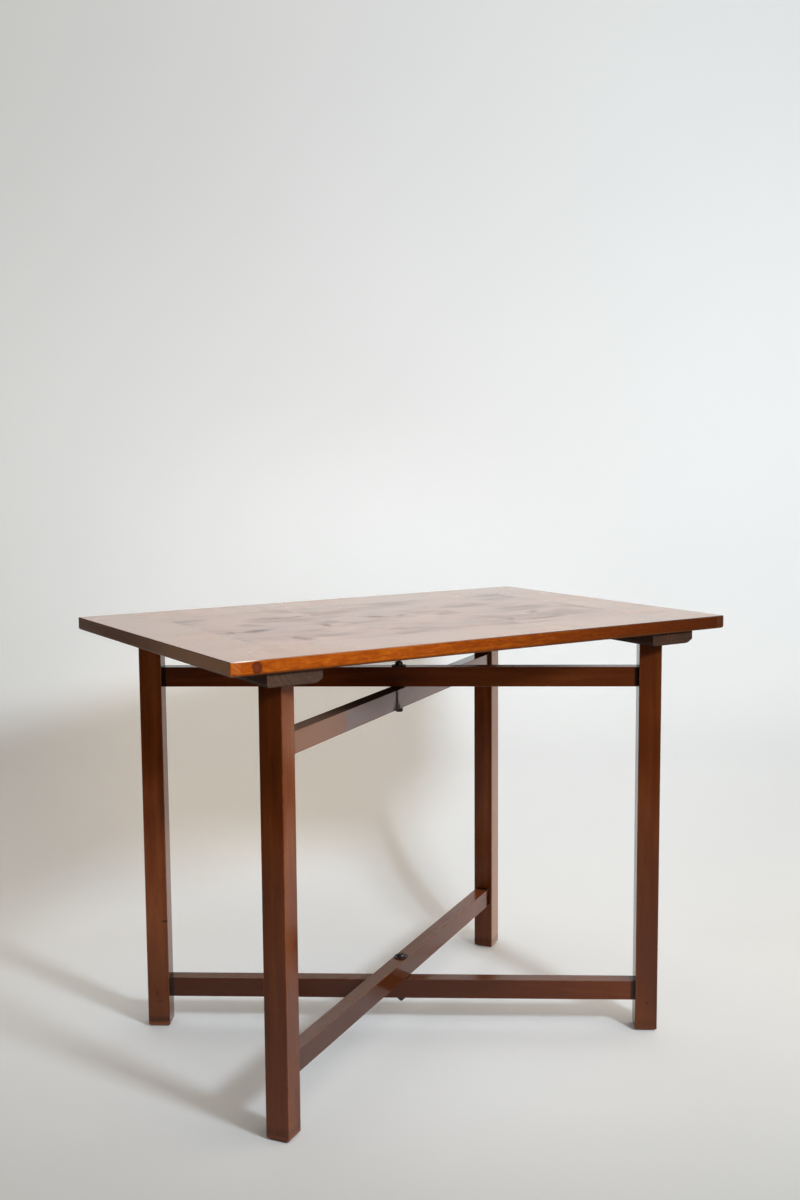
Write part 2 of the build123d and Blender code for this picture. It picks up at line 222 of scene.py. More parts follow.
# Painted light on that side: how much shows, its colour where the key lights it, in shade with a grey
# reflection, and pale with reflection
SIDE_LIGHT_SHARE = 0.8
SIDE_PAINTED_LIT = srgb(129, 93, 77)
SIDE_PAINTED_SHADE_SHEEN = srgb(113, 100, 98)
SIDE_PAINTED_REFLECTION = srgb(186, 166, 161)
SIDE_LIGHT_MOTTLE = 0.35
WINDOW_SIDE_BAND = (0.0020, 0.0008)
# Its crack: bends per metre and their width, soft edge, and how much it opens downwards
CRACK_PLACE = -0.037
CRACK_HEIGHTS = (0.5605, 0.5925)
CRACK_BENDS = 160.0
CRACK_BEND_WIDTH = 0.004
CRACK_BAND = (0.0062, 0.0024)
CRACK_OPENS = 0.002
CRACK_COLOUR = srgb(30, 18, 13)
CRACK_SHARE = 0.9
CRACK_DULL = 3.5
# The dark stain round the crack: how far below the top it begins, and how wide it is at the foot
CRACK_STAIN_BEGINS = 0.008
CRACK_STAIN_WIDENS = 0.016
CRACK_STAIN_BAND = (0.004, -0.004)
CRACK_STAIN_SHARE = 0.85
# The same rail's upper face, painted: a pale reflection at the left end only, painted shade from the
# table top elsewhere, and glossy at the right end only
SHADED_FACE_DARKENS = (-0.34, -0.17)
SHADED_FACE_SHINES = (0.1, 0.0)
SHADED_FACE_REFLECTION = srgb(118, 92, 74)
SHADED_FACE_SHARE = 0.9
SHADED_FACE_DULL = 3.0

# Rails: darkens is where each is painted darker along it, in painted shade: from, to, first share, last
# share
RAILS = {
    "outer_lower_rail": {
        "wood": FRAME_WOOD, "angle": OUTER_ANGLE, "seed": 5, "darkens": (0.5, 0.0, 0.1, 0.9),
    },
    "outer_upper_rail": {
        "wood": FRAME_WOOD, "angle": OUTER_ANGLE, "seed": 6, "darkens": (-0.1, 0.35, 0.0, 0.5),
    },
    "inner_lower_rail": {
        "wood": LOW_RAIL_WOOD, "angle": INNER_ANGLE, "seed": 7, "darkens": (0.4, -0.1, 0.2, 0.95),
    },
    "inner_upper_rail": {
        "wood": FRAME_WOOD, "angle": INNER_ANGLE, "seed": 8, "darkens": (-1.0, 1.0, 0.2, 0.2),
        "painted_light_and_crack": True,
    },
}

# Nicks on the front faces of two legs: across the leg, height, half width, half height
LEFT_BACK_NICKS = (
    (0.0135, 0.188, 0.0065, 0.0022), (-0.002, 0.060, 0.0014, 0.0065), (0.003, 0.047, 0.0055, 0.0011),
)
RIGHT_FRONT_NICKS = ((0.0015, 0.049, 0.0022, 0.0022),)
NICK_DEPTH = 0.003
NICK_CORE = 0.4
NICK_SHARE = 0.95
# A pale painted reflection for the right-back leg's window side
LEG_PAINTED_SHEEN = srgb(176, 140, 120)
# Legs: darkens is painted shade by height, darker towards the foot; the next two tell the foot's dirt,
# and its wear and painted floor light on the chamfer; one leg also has a painted reflection on its window
# side
LEGS = {
    "leg_left_back": {
        "wood": LIGHT_LEG_WOOD, "seed": 1, "darkens": (0.36, 0.03, 0.0, 0.65), "grimy": 0.5, "worn_and_lit": 0.4,
        "nicks": LEFT_BACK_NICKS,
    },
    "leg_right_front": {
        "wood": FRAME_WOOD, "seed": 2, "darkens": (0.75, 0.03, 0.4, 0.6), "grimy": 0.15, "worn_and_lit": 0.0,
        "nicks": RIGHT_FRONT_NICKS,
    },
    "leg_left_front": {
        "wood": FRAME_WOOD, "seed": 3, "darkens": (0.55, 0.2, 0.0, 0.4), "grimy": 0.25, "worn_and_lit": 0.14,
    },
    "leg_right_back": {
        "wood": MATT_LEG_WOOD, "seed": 4, "darkens": (0.36, 0.03, 0.15, 0.4), "grimy": 0.3, "worn_and_lit": 0.05,
        "painted_side_light": 0.9,
    },
}
# The foot's bands by height, with ragged edges: grime above the chamfer, and wear with painted floor
# light on the chamfer
FOOT_SCALE = (60, 60, 60)
FOOT_RAGGED = 0.006
GRIME_BEGINS = (0.010, 0.013)
GRIME_ENDS = (0.026, 0.016)
CHAMFER_WORN_AND_LIT = (0.013, 0.009)

# Lippings. Their old stain is darker to the right: along X, from, to, first share, last share
EDGE_DARKENS = (-0.33, 0.44, 0.0, 0.93)
EDGE_DARK = srgb(62, 22, 4)
# The short ones get a painted reflection towards the front, along Y in the same way
SHORT_EDGE_SHEEN_GROWS = (0.12, -0.2, 0.0, 0.85)
SHORT_EDGE_SHEEN = srgb(184, 140, 108)
# End grain: how near the corner it shows, its repeats per metre along X and Z, and its breaks
END_GRAIN_BAND = (0.0030, 0.0006)
END_GRAIN_SLANT = (430, 520)
END_GRAIN_BREAKS = 60
END_GRAIN_RAMP = ((0.34, srgb(84, 34, 6)), (0.42, srgb(158, 74, 10)), (0.66, srgb(190, 98, 20)))
UNDER_BAND = (0.0050, 0.0012)
UNDER_SHARE = 0.9
# A knot near the left end of the front lipping, and the worn corner beside it, painted near white for its
# wear and a painted highlight
KNOT_PLACE = (-0.4105, -HALF_WIDTH, 0.7015)
KNOT_SIZE = (0.0086, 0.02, 0.0108)
KNOT_UNEVEN_SCALE = (160, 160, 160)
KNOT_UNEVEN = 0.006
KNOT_CORE = 0.6
KNOT_HEART_CORE = 0.2
KNOT_WOOD = srgb(98, 42, 22)
KNOT_SHARE = 0.85
KNOT_RIM = srgb(70, 26, 10)
KNOT_RIM_SHARE = 0.8
WORN_CORNER_GLINT_PLACE = (-0.428, -HALF_WIDTH, TABLE_HEIGHT)
WORN_CORNER_GLINT_SIZE = (0.030, 0.0017, 0.0019)
BARE_WOOD_AND_GLINT = srgb(236, 222, 206)

# How thick the polish still lies on the border and field, and what patches and figure take off
BORDER_COAT = 0.565
FIELD_COAT = 0.405
PATCH_SUNK = 0.3
FIGURE_SUNK = -0.5
COAT_ROUGHNESS = 0.1
# The border: repeats of its fibres, ribbons and clouds per metre, and their shares of its tone
BORDER_FIBRE_SCALE = (14, 420, 1)
BORDER_RIBBON_SCALE = (2.5, 26, 1)
BORDER_CLOUD_SCALE = (5, 5, 1)
BORDER_FIBRE_SHARE = 0.3
BORDER_RIBBON_SHARE = 0.35
BORDER_CLOUD_SHARE = 0.35
BORDER_CLOUD_LIMITS = (0.3, 0.7)
BORDER_RAMP = ((0.34, srgb(130, 87, 57)), (0.52, srgb(164, 115, 81)), (0.72, srgb(186, 140, 103)))
BORDER_ROUGHNESS = (0.24, 0.32)
BORDER_FIBRE_RISES = 0.2
BORDER_RELIEF = 0.00002
# A line between pieces: distance from, to, share on the line, share away from it
MITRE_LINE = (0.0003, 0.0008, 0.6, 0.0)
MITRE_DARK = srgb(60, 34, 24)
# The veneer's outer rim, dark where it is whole: along X, from, to, first share, last share, and
# wholly at the two ends
RIM_BAND = (0.0017, 0.0008)
RIM_DARKENS = (-0.16, 0.08, 0.35, 1.0)
RIM_AT_ENDS = (0.012, 0.002)
RIM_DARK = srgb(58, 30, 18)
RIM_DULLS = 0.35
# The burr: where in one pattern its leaves are cut, the repeats of its figures and what bends them
LEAF_SPREAD = (0.83, 0.31)
SWIRL_SCALE = (6, 10, 1)
SWIRL_BENDS = (0.08, 0.06)
FIGURE_SCALE = (9, 22, 1)
FINE_SCALE = (70, 190, 1)
FINE_SHARE = 0.25
CLOUD_SCALE = (7, 16, 1)
CLOUD_LIMITS = (0.46, 0.66)
SPLIT_SCALE = (14, 150, 1)
SPLIT_LIMITS = (0.68, 0.72)
BURR_RAMP = ((0.34, srgb(116, 71, 45)), (0.52, srgb(152, 95, 60)), (0.68, srgb(178, 121, 80)))
BURR_DARK = srgb(54, 34, 26)
BURR_DARK_SHARE = 0.85
SPLIT_DARK = srgb(24, 15, 14)
# How dark a split is away from a cloud, and what a cloud adds to it
SPLIT_SHARE = 0.1
SPLIT_CLOUD_SHARE = 0.4
# How rough the burr's polish is, what its figure and dark patches add, and how they stand up
BURR_ROUGHNESS = 0.16
FIGURE_DULLS = 0.10
PATCH_DULLS = 0.12
FIGURE_RISES = 0.8
PATCH_RISES = -0.5
BURR_RELIEF = 0.0002
# Dark patches of the burr: x, y, half length, half width in metres, turn in degrees, strength
BURR_PATCHES = (
    (-0.185, 0.091, 0.060, 0.011, 2, 0.8), (-0.142, 0.096, 0.022, 0.010, 20, 0.9),
    (-0.094, 0.100, 0.030, 0.012, 25, 0.6), (-0.253, 0.032, 0.030, 0.020, -30, 0.6),
    (-0.155, -0.025, 0.034, 0.010, 70, 0.8), (-0.281, -0.042, 0.030, 0.018, 20, 1.0),
    (-0.321, -0.038, 0.018, 0.016, 0, 0.7), (-0.034, 0.015, 0.032, 0.014, -25, 0.8),
    (0.014, 0.008, 0.030, 0.012, 50, 0.6), (0.079, -0.012, 0.018, 0.020, 60, 0.6),
    (-0.262, -0.145, 0.018, 0.030, -15, 0.8), (-0.070, -0.132, 0.045, 0.018, -8, 0.6),
    (0.132, -0.134, 0.014, 0.032, -20, 0.7), (0.190, -0.152, 0.062, 0.010, 3, 0.8),
    (0.222, -0.075, 0.040, 0.012, 55, 0.6), (0.345, -0.060, 0.026, 0.060, 10, 0.5),
    (0.320, 0.180, 0.060, 0.040, 30, 0.4), (0.060, 0.205, 0.060, 0.020, 0, 0.35),
)
# How much further than its size a patch fades out, how far it wavers, and how dark a cloud is
PATCH_SPREAD = 1.3
PATCH_WAVERS = 0.05
CLOUD_SHARE = 0.42
# The joints between the leaves, and the field's edge, which is soft
LEAF_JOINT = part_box("field_leaf_middle")[1].x
LEAF_LINE = (0.0002, 0.0007, 0.5, 0.0)
FIELD_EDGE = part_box("field_leaf_right")[1].to_2d()
FIELD_LINE = (0.0024, 0.0010, 0.0, 0.7)
JOINT_DARK = srgb(50, 28, 22)

# Steels: their three colours from dark to rubbed, and how much rust shows
PIVOT_STEEL = (srgb(34, 32, 31), srgb(62, 58, 55), srgb(120, 114, 108)), 0.5
SCREW_STEEL = (srgb(60, 54, 48), srgb(98, 90, 80), srgb(150, 142, 130)), 0.35
SPACER_STEEL = (srgb(16, 15, 14), srgb(26, 24, 22), srgb(44, 40, 37)), 0.3
RUST = srgb(88, 44, 26)
# Repeats per metre of the steel's blotches, grit and rust, the noise over which rust sets in, the
# blotches' tones, and their roughness: noise from, to, roughness of dark places, of rubbed ones
BLOTCH_SCALE = (220, 220, 220)
GRIT_SCALE = (1500, 1500, 1500)
RUST_SCALE = (130, 130, 130)
RUST_LIMITS = (0.52, 0.66)
STEEL_TONES = (0.35, 0.55, 0.72)
STEEL_ROUGHNESS = (0.35, 0.7, 0.62, 0.36)
STEEL_RELIEF = 0.00012
STEEL_METALLIC = 0.8


class Graph:
    """The nodes of a material or world, made by calls that each return the new node's output."""

    def __init__(self, owner):
        owner.use_nodes = True
        self.owner = owner
        self.tree = owner.node_tree
        self.tree.nodes.clear()

    def node(self, kind, inputs, output=0, **settings):
        made = self.tree.nodes.new(kind)
        for key, value in settings.items():
            setattr(made, key, value)
        for key, value in inputs.items():
            if isinstance(value, bpy.types.NodeSocket):
                self.tree.links.new(value, made.inputs[key])
            else:
                made.inputs[key].default_value = value
        return made.outputs[output] if made.outputs else None

    def math(self, operation, first, second=0.0):
        return self.node("ShaderNodeMath", {0: first, 1: second}, operation=operation)

    def add(self, first, second):
        return self.math("ADD", first, second)

    def minus(self, first, second):
        return self.math("SUBTRACT", first, second)

    def times(self, first, second):
        return self.math("MULTIPLY", first, second)

    def least(self, first, second):
        return self.math("MINIMUM", first, second)

    def most(self, first, second):
        return self.math("MAXIMUM", first, second)

    def size(self, value):
        return self.math("ABSOLUTE", value)

    def swing(self, noise, width):
        """Noise about 0.5 made into noise about 0, width times as wide."""
        return self.times(self.add(noise, -0.5), width)

    def step(self, value, low, high, first=0.0, last=1.0):
        """Goes smoothly from first to last as value goes from low to high."""
        return self.node(
            "ShaderNodeMapRange",
            {"Value": value, "From Min": low, "From Max": high, "To Min": first, "To Max": last},
            interpolation_type="SMOOTHSTEP",
        )

    def object_point(self):
        return self.node("ShaderNodeTexCoord", {}, output=3)

    def split(self, vector):
        made = self.tree.nodes.new("ShaderNodeSeparateXYZ")
        self.tree.links.new(vector, made.inputs[0])
        return made.outputs[0], made.outputs[1], made.outputs[2]

    def join(self, x, y, z):
        return self.node("ShaderNodeCombineXYZ", {0: x, 1: y, 2: z})

    def place(self, vector, scale=(1, 1, 1), shift=(0, 0, 0), turn=0.0):
        """The vector scaled, turned about Z and then shifted."""
        return self.node(
            "ShaderNodeMapping",
            {"Vector": vector, "Scale": scale, "Location": shift, "Rotation": (0, 0, turn)},
        )

    def noise(self, point, scale, detail=3.0, roughness=0.5, distortion=0.0):
        """Noise about 0.5 with scale repeats per metre along each axis."""
        return self.node(
            "ShaderNodeTexNoise",
            {"Vector": self.place(point, scale), "Scale": 1.0, "Detail": detail,
             "Roughness": roughness, "Distortion": distortion},
        )

    def noise_along(self, value, scale, detail=3.0, roughness=0.5):
        return self.node(
            "ShaderNodeTexNoise",
            {"W": value, "Scale": scale, "Detail": detail, "Roughness": roughness},
            noise_dimensions="1D",
        )

    def spot(self, point, centre, half, turn=0.0, core=0.35):
        """1 in the core of an ellipsoid round centre, 0 outside it, soft between."""
        inside = self.node(
            "ShaderNodeMapping",
            {"Vector": point, "Location": centre, "Scale": half, "Rotation": (0, 0, turn)},
            vector_type="TEXTURE",
        )
        reach = self.node("ShaderNodeVectorMath", {0: inside}, output=1, operation="LENGTH")
        return self.step(reach, 1.0, core)

    def ramp(self, value, *stops):
        """A colour that runs through the stops, each a place and a colour."""
        made = self.tree.nodes.new("ShaderNodeValToRGB")
        elements = made.color_ramp.elements
        while len(elements) < len(stops):
            elements.new(0.5)
        for element, (where, colour) in zip(elements, stops):
            element.position = where
            element.color = colour
        self.tree.links.new(value, made.inputs[0])
        return made.outputs[0]

    def mix(self, share, first, second, blend="MIX"):
        return self.node(
            "ShaderNodeMix", {0: share, 6: first, 7: second}, output=2, data_type="RGBA", blend_type=blend
        )

    def bump(self, height, depth):
        return self.node("ShaderNodeBump", {"Height": height, "Strength": 1.0, "Distance": depth})

    def surface(self, colour, roughness, normal, **constants):
        """The finished material: constants are set on the shader's own sockets."""
        inputs = {"Base Color": colour, "Roughness": roughness, "Normal": normal}
        inputs.update({key.replace("_", " "): value for key, value in constants.items()})
        shader = self.node("ShaderNodeBsdfPrincipled", inputs)
        self.node("ShaderNodeOutputMaterial", {"Surface": shader})
        return self.owner


def new_material(name):
    return Graph(bpy.data.materials.new(name))


def timber(graph, wood, along, across, up, seed):
    """Colour, grain height and stain of solid timber from a piece's own three coordinates."""
    offset = seed * SEED_SPREAD
    point = graph.join(graph.add(along, offset), across, up)
    drift = graph.swing(graph.noise(point, DRIFT_SCALE, 2), wood["wander"])
    pith_side, pith_rise = (place + move * seed for place, move in zip(wood["pith"], PITH_MOVES))
    side = graph.add(graph.add(across, pith_side), drift)
    rise = graph.add(graph.add(up, pith_rise), graph.times(drift, RISE_DRIFT))
    reach = graph.math("SQRT", graph.add(graph.times(side, side), graph.times(rise, rise)))
    rings = graph.noise_along(graph.add(reach, offset), wood["rings"], 3, 0.6)
    fibres = graph.noise(point, FIBRE_SCALE, 3, 0.6)
    pores = graph.step(graph.noise(point, PORE_SCALE, 1), *PORE_LIMITS)
    stain = graph.noise(point, STAIN_SCALE, 4, 0.6)
    flecks = graph.noise(point, FLECK_SCALE, 4, 0.62, 0.5)
    tone = graph.add(graph.swing(rings, wood["ring"]), 0.5)
    for noise, shows in ((fibres, "fibre"), (stain, "stain"), (flecks, "fleck")):
        tone = graph.add(tone, graph.swing(noise, wood[shows]))
    colour = graph.ramp(tone, *zip(TIMBER_TONES, (wood["dark"], wood["mid"], wood["light"])))
    colour = graph.mix(graph.times(pores, PORE_SHARE), colour, wood["grime_and_shade"])
    height = graph.add(graph.times(fibres, FIBRE_RISES), graph.times(pores, PORE_RISES))
    height = graph.add(height, graph.times(rings, RING_RISES))
    return colour, height, stain


def arris_wear(graph, along, across, up, half_across, half_up):
    """How worn a point is: 1 on an arris of a square piece, 0 away from it, broken up by noise."""
    to_side = graph.minus(half_across, graph.size(across))
    to_face = graph.minus(half_up, graph.size(up))
    patchy = graph.noise(graph.join(along, across, up), WEAR_SCALE, 3, 0.65)
    reach = graph.step(patchy, *WEAR_LIMITS, *ARRIS_REACH)
    near = graph.minus(1.0, graph.math("DIVIDE", graph.add(to_side, to_face), reach))
    return graph.least(graph.most(near, 0.0), 1.0)


def finish_wood(graph, wood, colour, height, wear, stain, dull=0.0):
    """Puts wear and polish on timber. Wear takes the polish off too, and dull does only that."""
    colour = graph.mix(graph.times(wear, WORN_SHARE), colour, wood["worn_and_lit"])
    rough = graph.step(stain, *STAIN_LIMITS, *wood["roughness"])
    rough = graph.add(rough, graph.times(graph.add(wear, dull), WEAR_DULLS))
    normal = graph.bump(height, wood["relief"])
    return graph.surface(colour, rough, normal, Specular_IOR_Level=wood["specular"])


def paint_side_light(graph, colour, across, half, painted_side_light, strength):
    """Paints light and reflection onto the one long face that faces the lamps."""
    share = graph.step(graph.add(across, half), *SIDE_LIGHT_BAND, 0.0, strength)
    return graph.mix(share, colour, painted_side_light)


def crack(graph, along, z, across):
    """How dark the crack down the rail's window side is, with the stain that widens to its foot."""
    bottom, top = CRACK_HEIGHTS
    wander = graph.swing(graph.noise_along(z, CRACK_BENDS), CRACK_BEND_WIDTH)
    away = graph.size(graph.add(graph.add(along, -CRACK_PLACE), wander))
    down = graph.step(z, top, bottom)
    line = graph.step(graph.minus(away, graph.times(down, CRACK_OPENS)), *CRACK_BAND)
    widened = graph.times(graph.times(down, down), CRACK_STAIN_WIDENS)
    stain = graph.step(graph.minus(away, widened), *CRACK_STAIN_BAND)
    stain = graph.times(stain, graph.step(z, top - CRACK_STAIN_BEGINS, bottom))
    window_side = graph.step(graph.add(across, RAIL_HALF_THICKNESS), *WINDOW_SIDE_BAND)
    return graph.times(graph.most(line, graph.times(stain, CRACK_STAIN_SHARE)), window_side)


def paint_light_and_crack(graph, wood, colour, stain, along, across, z, upper_face):
    """Paints light, shade and reflection on a rail's window side and cracks it, and paints its upper face
    with reflection and shade: the colour and its dullness.
    """
    # Painted light: lit by the key at the end, shade with a grey reflection beyond, a pale reflection in
    # the middle
    painted_side_light = graph.mix(graph.step(along, *SIDE_SHADOW_EDGE), SIDE_PAINTED_LIT, SIDE_PAINTED_SHADE_SHEEN)
    painted_side_light = graph.mix(graph.step(along, *SIDE_REFLECTION_SPAN), painted_side_light, SIDE_PAINTED_REFLECTION)
    painted_side_light = graph.mix(graph.step(stain, *STAIN_LIMITS, 0.0, SIDE_LIGHT_MOTTLE), painted_side_light, wood["mid"])
    colour = paint_side_light(graph, colour, across, RAIL_HALF_THICKNESS, painted_side_light, SIDE_LIGHT_SHARE)
    cracked = crack(graph, along, z, across)
    colour = graph.mix(graph.times(cracked, CRACK_SHARE), colour, CRACK_COLOUR)
    # Its upper face: a painted reflection at the left end, painted shade beyond
    shaded = graph.mix(graph.step(along, *SHADED_FACE_DARKENS), SHADED_FACE_REFLECTION, wood["grime_and_shade"])
    colour = graph.mix(graph.times(upper_face, SHADED_FACE_SHARE), colour, shaded)
    dull_face = graph.times(upper_face, graph.step(along, *SHADED_FACE_SHINES))
    dull = graph.add(graph.times(dull_face, SHADED_FACE_DULL), graph.times(cracked, CRACK_DULL))
    return colour, dull


def rail_wood(name, wood, angle, seed, darkens, painted_light_and_crack=False):
    """A rail: grain along it, worn on its long edges, dark with painted shade against the legs."""
    low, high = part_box(name)
    half_rise = (high.z - low.z) / 2
    graph = new_material(f"{name}_wood")
    along, across, z = graph.split(graph.place(graph.object_point(), turn=-angle))
    up = graph.add(z, -(low.z + high.z) / 2)
    colour, height, stain = timber(graph, wood, along, across, up, seed)
    wear = arris_wear(graph, along, across, up, RAIL_HALF_THICKNESS, half_rise)
    # Painted shade along the rail
    colour = graph.mix(graph.step(along, *darkens), colour, wood["dark"])
    upper_face = graph.step(graph.minus(half_rise, up), *FACE_BAND)
    colour = graph.mix(graph.times(upper_face, WORN_SHARE), colour, wood["worn_and_lit"])
    dull = graph.times(upper_face, UPPER_FACE_DULL)
    if painted_light_and_crack:
        colour, dull = paint_light_and_crack(graph, wood, colour, stain, along, across, z, upper_face)
    # Painted shade in the gap against the legs
    dirt_and_shade = graph.step(graph.minus(RAIL_SHOULDER, graph.size(along)), *SHOULDER_SHADE)
    colour = graph.mix(graph.times(dirt_and_shade, SHOULDER_SHADE_SHARE), colour, wood["grime_and_shade"])
    return finish_wood(graph, wood, colour, height, wear, stain, dull)


def leg_wood(name, wood, seed, darkens, grimy, worn_and_lit, painted_side_light=0.0, nicks=()):
    """A leg: grain upright, worn on its four arrises, painted shade by height, dark with dirt above the
    foot's chamfer, and wear and painted floor light on the chamfer.
    """
    angle, reach = frame_line(name)
    graph = new_material(f"{name}_wood")
    point = graph.place(graph.object_point(), shift=(-reach, 0, 0), turn=-angle)
    across, up, along = graph.split(point)
    colour, height, stain = timber(graph, wood, along, across, up, seed)
    wear = arris_wear(graph, along, across, up, LEG_HALF, LEG_HALF)
    # Painted shade, darker towards the foot
    colour = graph.mix(graph.step(along, *darkens), colour, wood["dark"])
    # Painted reflection on the window side
    if painted_side_light:
        colour = paint_side_light(graph, colour, up, LEG_HALF, LEG_PAINTED_SHEEN, painted_side_light)
    ragged = graph.noise(graph.object_point(), FOOT_SCALE, 3, 0.6)
    foot = graph.add(along, graph.times(ragged, FOOT_RAGGED))
    dirt_and_shade = graph.times(graph.step(foot, *GRIME_BEGINS), graph.step(foot, *GRIME_ENDS))
    colour = graph.mix(graph.times(dirt_and_shade, grimy), colour, wood["grime_and_shade"])
    # Wear and painted floor light on the chamfer
    colour = graph.mix(graph.step(foot, *CHAMFER_WORN_AND_LIT, 0.0, worn_and_lit), colour, wood["worn_and_lit"])
    for nick_across, nick_z, half_across, half_z in nicks:
        centre = (nick_across, -LEG_HALF, nick_z)
        nick = graph.spot(point, centre, (half_across, NICK_DEPTH, half_z), core=NICK_CORE)
        colour = graph.mix(graph.times(nick, NICK_SHARE), colour, wood["grime_and_shade"])
    return finish_wood(graph, wood, colour, height, wear, stain)


def add_knot(graph, point, colour):
    """A knot with a dark rim, its outline bent by noise."""
    uneven = graph.swing(graph.noise(point, KNOT_UNEVEN_SCALE, 2), KNOT_UNEVEN)
    bent = graph.node(
        "ShaderNodeVectorMath", {0: point, 1: graph.join(uneven, 0.0, 0.0)}, operation="ADD"
    )
    knot = graph.spot(bent, KNOT_PLACE, KNOT_SIZE, core=KNOT_CORE)
    heart = graph.spot(bent, KNOT_PLACE, KNOT_SIZE, core=KNOT_HEART_CORE)
    rim = graph.times(knot, graph.minus(1.0, heart))
    colour = graph.mix(graph.times(knot, KNOT_SHARE), colour, KNOT_WOOD)
    return graph.mix(graph.times(rim, KNOT_RIM_SHARE), colour, KNOT_RIM)


def end_grain(graph, x, z):
    """Slanting streaks where a short lipping's end shows in the long edge."""
    along_x, along_z = END_GRAIN_SLANT
    slanted = graph.add(graph.times(z, along_z), graph.times(x, along_x))
    broken = graph.join(slanted, graph.times(x, END_GRAIN_BREAKS), 0.0)
    streaks = graph.noise(broken, (1, 1, 1), 3, 0.6)
    return graph.mix(graph.step(x, *EDGE_DARKENS), graph.ramp(streaks, *END_GRAIN_RAMP), EDGE_DARK)


def lipping_wood(name, wood, runs_along_x, seed):
    """A lipping: grain along its length, dull and dark on its lower round."""
    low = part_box("lipping_front")[0].z
    half = (TABLE_HEIGHT - low) / 2
    graph = new_material(f"{name}_wood")
    point = graph.object_point()
    x, y, z = graph.split(point)
    up = graph.add(z, half - TABLE_HEIGHT)
    along, across, outer = (x, y, HALF_WIDTH) if runs_along_x else (y, x, HALF_LENGTH)
    colour, height, stain = timber(graph, wood, along, graph.size(across), up, seed)
    inset = graph.minus(outer, graph.size(across))
    wear = arris_wear(graph, along, graph.minus(half, inset), up, half, half)
    if runs_along_x:
        colour = add_knot(graph, point, colour)
        colour = graph.mix(graph.step(x, *EDGE_DARKENS), colour, EDGE_DARK)
    else:
        # A painted reflection towards the front
        colour = graph.mix(graph.step(y, *SHORT_EDGE_SHEEN_GROWS), colour, SHORT_EDGE_SHEEN)
        end = graph.step(graph.minus(HALF_WIDTH, graph.size(y)), *END_GRAIN_BAND)
        colour = graph.mix(end, colour, end_grain(graph, x, z))
    under = graph.step(graph.add(z, -low), *UNDER_BAND)
    colour = graph.mix(graph.times(under, UNDER_SHARE), colour, wood["grime_and_shade"])
    # The worn corner, with a painted highlight
    bare_and_glint = graph.spot(point, WORN_CORNER_GLINT_PLACE, WORN_CORNER_GLINT_SIZE)
    colour = graph.mix(bare_and_glint, colour, BARE_WOOD_AND_GLINT)
    return finish_wood(graph, wood, colour, height, graph.most(wear, under), stain)


def plain_timber(name, wood, turn, seed):
    """Timber with its grain along a level direction and no worn arrises."""
    graph = new_material(name)
    point = graph.place(graph.object_point(), shift=(0, 0, -UNDER_TOP), turn=turn)
    along, across, up = graph.split(point)
    colour, height, stain = timber(graph, wood, along, across, up, seed)
    return finish_wood(graph, wood, colour, height, 0.0, stain)


def border_veneer(name, grain_along_y, seed):
    """Crossbanded border: plain straight grain across the strip, its outer rim dark and dull."""
    graph = new_material(f"{name}_veneer")
    point = graph.object_point()
    x, y, z = graph.split(point)
    along, across = (y, x) if grain_along_y else (x, y)
    shifted = graph.join(graph.add(along, seed), across, z)
    fibres = graph.noise(shifted, BORDER_FIBRE_SCALE, 4, 0.6)
    ribbon = graph.noise(shifted, BORDER_RIBBON_SCALE, 3, 0.55)
    cloud = graph.noise(shifted, BORDER_CLOUD_SCALE, 2)
    tone = graph.add(graph.times(fibres, BORDER_FIBRE_SHARE), graph.times(ribbon, BORDER_RIBBON_SHARE))
    tone = graph.add(tone, graph.times(cloud, BORDER_CLOUD_SHARE))
    colour = graph.ramp(tone, *BORDER_RAMP)
    to_end = graph.minus(HALF_LENGTH, graph.size(x))
    to_side = graph.minus(HALF_WIDTH, graph.size(y))
    mitre = graph.step(graph.size(graph.minus(to_end, to_side)), *MITRE_LINE)
    colour = graph.mix(mitre, colour, MITRE_DARK)
    rim = graph.step(graph.least(to_end, to_side), *RIM_BAND)
    whole = graph.most(graph.step(x, *RIM_DARKENS), graph.step(to_end, *RIM_AT_ENDS))
    colour = graph.mix(graph.times(rim, whole), colour, RIM_DARK)
    # The worn corner, with a painted highlight
    bare_and_glint = graph.spot(point, WORN_CORNER_GLINT_PLACE, WORN_CORNER_GLINT_SIZE)
    colour = graph.mix(bare_and_glint, colour, BARE_WOOD_AND_GLINT)
    rough = graph.step(cloud, *BORDER_CLOUD_LIMITS, *BORDER_ROUGHNESS)
    rough = graph.add(rough, graph.times(rim, RIM_DULLS))
    coat = graph.minus(BORDER_COAT, graph.times(rim, BORDER_COAT))
    normal = graph.bump(graph.add(graph.times(fibres, BORDER_FIBRE_RISES), cloud), BORDER_RELIEF)
    return graph.surface(colour, rough, normal, Coat_Weight=coat, Coat_Roughness=COAT_ROUGHNESS)


def dark_patches(graph, name, point, cloud):
    """How dark the burr is at a point of one leaf: its clouds, and the patches that reach the leaf."""
    low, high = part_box(name)
    patches = graph.times(cloud, CLOUD_SHARE)
    for x, y, half_x, half_y, turn, strength in BURR_PATCHES:
        if low.x - half_x < x < high.x + half_x:
            half = (half_x * PATCH_SPREAD, half_y * PATCH_SPREAD, 1)
            patch = graph.spot(point, (x, y, 0), half, math.radians(turn), core=0.0)
            patches = graph.most(patches, graph.times(patch, strength))
    return patches


